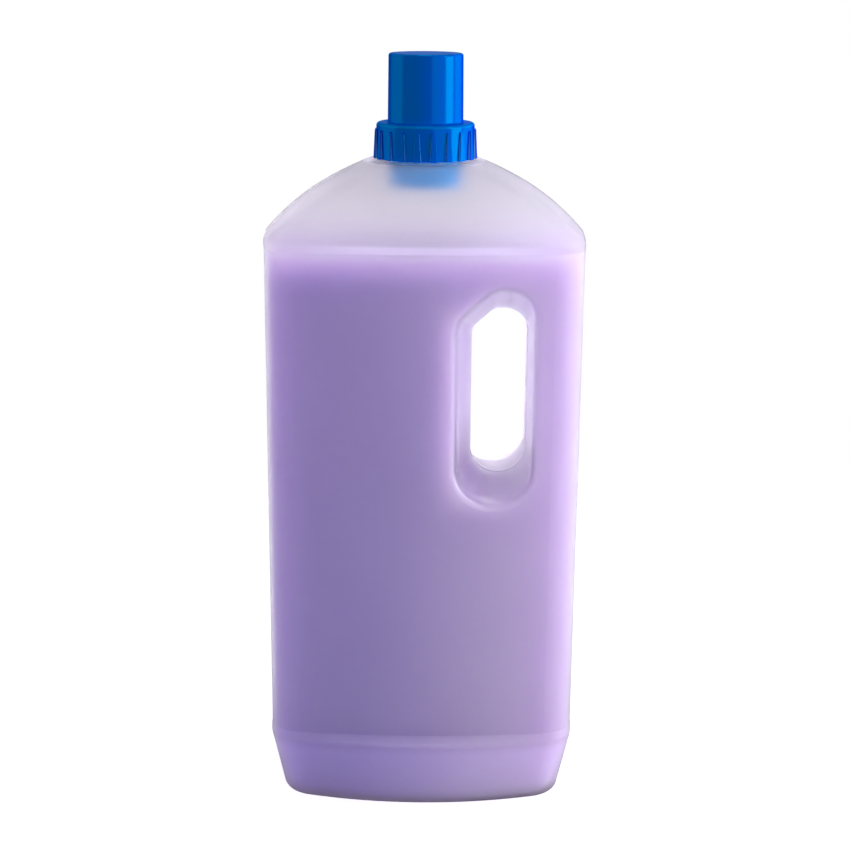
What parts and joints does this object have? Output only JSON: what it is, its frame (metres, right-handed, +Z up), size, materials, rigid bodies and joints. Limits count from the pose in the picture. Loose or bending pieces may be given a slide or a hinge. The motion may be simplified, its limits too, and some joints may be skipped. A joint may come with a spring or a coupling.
{
  "type": "fabric softener bottle",
  "caption": "Flat milky plastic bottle with a finger grip through one side, recessed panels, bulged foot and shoulder, lilac liquid and a ribbed blue screw cap that is also the dosing cup.",
  "frame": {"origin": "on the ground, under the middle of the bottle and the axis of its neck", "axes": "+Z up along the neck, -Y towards the front panel, +X towards the handle side"},
  "size_m": [0.1326, 0.0818, 0.3158],
  "materials": {
    "milky_wall": "satin natural polyethylene, see-through but cloudy",
    "lilac_liquid": "milky lilac liquid",
    "blue_cap": "glossy blue polypropylene"
  },
  "bodies": {
    "bottle": {"bottle": "milky_wall", "softener": "lilac_liquid"},
    "dosing_cap": {"dosing_cap": "blue_cap"}
  },
  "joints": [
    {"name": "cap_lift", "type": "slide", "parent": "bottle", "child": "dosing_cap", "axis": [0, 0, 1], "range_m": [0, 0.06]}
  ]
}
